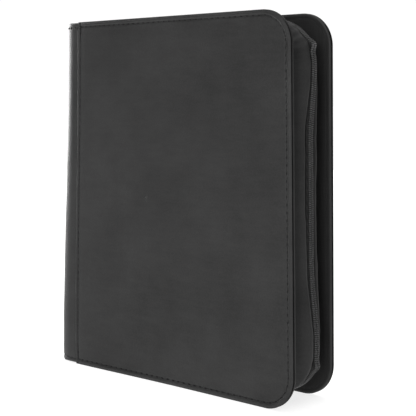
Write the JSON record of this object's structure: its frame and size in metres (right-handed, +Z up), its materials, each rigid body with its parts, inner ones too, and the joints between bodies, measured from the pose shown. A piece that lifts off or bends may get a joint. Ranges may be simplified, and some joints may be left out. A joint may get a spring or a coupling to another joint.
{
  "type": "trading card binder",
  "caption": "Zip-up card album with padded leatherette covers, a flat spine, a soft zipped gusset and leaves of side-loading pockets.",
  "frame": {"origin": "centre of the closed album's footprint, on the surface it stands on", "axes": "+X from the spine to the fore edge, +Y from the front cover to the back cover, +Z up along the spine"},
  "size_m": [0.28, 0.064, 0.34],
  "materials": {
    "leatherette": "fine grained leatherette, satin",
    "gusset_leatherette": "thin soft leatherette, satin",
    "zip_tape": "woven, matte",
    "zip_coil": "nylon coil, satin",
    "foam": "soft foam padding, hidden",
    "board": "grey board, hidden",
    "lining": "smooth woven lining, matte",
    "binding": "black plastic strip",
    "black_metal": "black lacquered metal",
    "leaf_plastic": "black core under clear pocket film"
  },
  "bodies": {
    "spine": {"spine_skin": "leatherette", "spine_padding": "foam", "spine_board": "board", "spine_lining": "lining", "page_binding": "binding"},
    "front_cover": {"front_panel": "leatherette", "front_wrap": "leatherette", "front_padding": "foam", "front_board": "board", "front_lining": "lining", "front_gusset": "gusset_leatherette", "front_tape": "zip_tape", "front_coil": "zip_coil", "front_end_tabs": "leatherette"},
    "back_cover": {"back_panel": "leatherette", "back_wrap": "leatherette", "back_padding": "foam", "back_board": "board", "back_lining": "lining", "back_gusset": "gusset_leatherette", "back_tape": "zip_tape", "back_coil": "zip_coil", "back_end_tabs": "leatherette"},
    "slider": {"slider_body": "black_metal"},
    "pull": {"pull_tab": "black_metal"},
    "leaf_01": {"leaf_01": "leaf_plastic"},
    "leaf_02": {"leaf_02": "leaf_plastic"},
    "leaf_03": {"leaf_03": "leaf_plastic"},
    "leaf_04": {"leaf_04": "leaf_plastic"},
    "leaf_05": {"leaf_05": "leaf_plastic"},
    "leaf_06": {"leaf_06": "leaf_plastic"},
    "leaf_07": {"leaf_07": "leaf_plastic"},
    "leaf_08": {"leaf_08": "leaf_plastic"},
    "leaf_09": {"leaf_09": "leaf_plastic"},
    "leaf_10": {"leaf_10": "leaf_plastic"},
    "leaf_11": {"leaf_11": "leaf_plastic"},
    "leaf_12": {"leaf_12": "leaf_plastic"},
    "leaf_13": {"leaf_13": "leaf_plastic"},
    "leaf_14": {"leaf_14": "leaf_plastic"},
    "leaf_15": {"leaf_15": "leaf_plastic"},
    "leaf_16": {"leaf_16": "leaf_plastic"},
    "leaf_17": {"leaf_17": "leaf_plastic"},
    "leaf_18": {"leaf_18": "leaf_plastic"},
    "leaf_19": {"leaf_19": "leaf_plastic"},
    "leaf_20": {"leaf_20": "leaf_plastic"}
  },
  "joints": [
    {"name": "front_hinge", "type": "hinge", "parent": "spine", "child": "front_cover", "pos_m": [-0.137, -0.0282, 0.17], "axis": [0, 0, -1], "range_deg": [0, 90]},
    {"name": "back_hinge", "type": "hinge", "parent": "spine", "child": "back_cover", "pos_m": [-0.137, 0.0282, 0.17], "axis": [0, 0, 1], "range_deg": [0, 90]},
    {"name": "slider_run", "type": "slide", "parent": "back_cover", "child": "slider", "axis": [1, 0, 0], "range_m": [0, 0.196]},
    {"name": "pull_swing", "type": "hinge", "parent": "slider", "child": "pull", "pos_m": [-0.1062, 0, 0.33715], "axis": [0, -1, 0], "range_deg": [0, 165]},
    {"name": "crease_01", "type": "hinge", "parent": "spine", "child": "leaf_01", "pos_m": [-0.13, -0.0209, 0.17], "axis": [0, 0, -1], "range_deg": [0, 90]},
    {"name": "crease_02", "type": "hinge", "parent": "spine", "child": "leaf_02", "pos_m": [-0.1288, -0.0187, 0.17], "axis": [0, 0, -1], "range_deg": [0, 90]},
    {"name": "crease_03", "type": "hinge", "parent": "spine", "child": "leaf_03", "pos_m": [-0.1276, -0.0165, 0.17], "axis": [0, 0, -1], "range_deg": [0, 90]},
    {"name": "crease_04", "type": "hinge", "parent": "spine", "child": "leaf_04", "pos_m": [-0.1264, -0.0143, 0.17], "axis": [0, 0, -1], "range_deg": [0, 90]},
    {"name": "crease_05", "type": "hinge", "parent": "spine", "child": "leaf_05", "pos_m": [-0.1252, -0.0121, 0.17], "axis": [0, 0, -1], "range_deg": [0, 90]},
    {"name": "crease_06", "type": "hinge", "parent": "spine", "child": "leaf_06", "pos_m": [-0.124, -0.0099, 0.17], "axis": [0, 0, -1], "range_deg": [0, 90]},
    {"name": "crease_07", "type": "hinge", "parent": "spine", "child": "leaf_07", "pos_m": [-0.1228, -0.0077, 0.17], "axis": [0, 0, -1], "range_deg": [0, 90]},
    {"name": "crease_08", "type": "hinge", "parent": "spine", "child": "leaf_08", "pos_m": [-0.1216, -0.0055, 0.17], "axis": [0, 0, -1], "range_deg": [0, 90]},
    {"name": "crease_09", "type": "hinge", "parent": "spine", "child": "leaf_09", "pos_m": [-0.1204, -0.0033, 0.17], "axis": [0, 0, -1], "range_deg": [0, 90]},
    {"name": "crease_10", "type": "hinge", "parent": "spine", "child": "leaf_10", "pos_m": [-0.1192, -0.0011, 0.17], "axis": [0, 0, -1], "range_deg": [0, 90]},
    {"name": "crease_11", "type": "hinge", "parent": "spine", "child": "leaf_11", "pos_m": [-0.1192, 0.0011, 0.17], "axis": [0, 0, 1], "range_deg": [0, 90]},
    {"name": "crease_12", "type": "hinge", "parent": "spine", "child": "leaf_12", "pos_m": [-0.1204, 0.0033, 0.17], "axis": [0, 0, 1], "range_deg": [0, 90]},
    {"name": "crease_13", "type": "hinge", "parent": "spine", "child": "leaf_13", "pos_m": [-0.1216, 0.0055, 0.17], "axis": [0, 0, 1], "range_deg": [0, 90]},
    {"name": "crease_14", "type": "hinge", "parent": "spine", "child": "leaf_14", "pos_m": [-0.1228, 0.0077, 0.17], "axis": [0, 0, 1], "range_deg": [0, 90]},
    {"name": "crease_15", "type": "hinge", "parent": "spine", "child": "leaf_15", "pos_m": [-0.124, 0.0099, 0.17], "axis": [0, 0, 1], "range_deg": [0, 90]},
    {"name": "crease_16", "type": "hinge", "parent": "spine", "child": "leaf_16", "pos_m": [-0.1252, 0.0121, 0.17], "axis": [0, 0, 1], "range_deg": [0, 90]},
    {"name": "crease_17", "type": "hinge", "parent": "spine", "child": "leaf_17", "pos_m": [-0.1264, 0.0143, 0.17], "axis": [0, 0, 1], "range_deg": [0, 90]},
    {"name": "crease_18", "type": "hinge", "parent": "spine", "child": "leaf_18", "pos_m": [-0.1276, 0.0165, 0.17], "axis": [0, 0, 1], "range_deg": [0, 90]},
    {"name": "crease_19", "type": "hinge", "parent": "spine", "child": "leaf_19", "pos_m": [-0.1288, 0.0187, 0.17], "axis": [0, 0, 1], "range_deg": [0, 90]},
    {"name": "crease_20", "type": "hinge", "parent": "spine", "child": "leaf_20", "pos_m": [-0.13, 0.0209, 0.17], "axis": [0, 0, 1], "range_deg": [0, 90]}
  ],
  "couplings": [
    {"joint": "crease_01", "follows": "front_hinge", "ratio": 1},
    {"joint": "crease_02", "follows": "front_hinge", "ratio": 1},
    {"joint": "crease_03", "follows": "front_hinge", "ratio": 1},
    {"joint": "crease_04", "follows": "front_hinge", "ratio": 1},
    {"joint": "crease_05", "follows": "front_hinge", "ratio": 1},
    {"joint": "crease_06", "follows": "front_hinge", "ratio": 1},
    {"joint": "crease_07", "follows": "front_hinge", "ratio": 1},
    {"joint": "crease_08", "follows": "front_hinge", "ratio": 1},
    {"joint": "crease_09", "follows": "front_hinge", "ratio": 1},
    {"joint": "crease_10", "follows": "front_hinge", "ratio": 1},
    {"joint": "crease_11", "follows": "back_hinge", "ratio": 1},
    {"joint": "crease_12", "follows": "back_hinge", "ratio": 1},
    {"joint": "crease_13", "follows": "back_hinge", "ratio": 1},
    {"joint": "crease_14", "follows": "back_hinge", "ratio": 1},
    {"joint": "crease_15", "follows": "back_hinge", "ratio": 1},
    {"joint": "crease_16", "follows": "back_hinge", "ratio": 1},
    {"joint": "crease_17", "follows": "back_hinge", "ratio": 1},
    {"joint": "crease_18", "follows": "back_hinge", "ratio": 1},
    {"joint": "crease_19", "follows": "back_hinge", "ratio": 1},
    {"joint": "crease_20", "follows": "back_hinge", "ratio": 1}
  ]
}
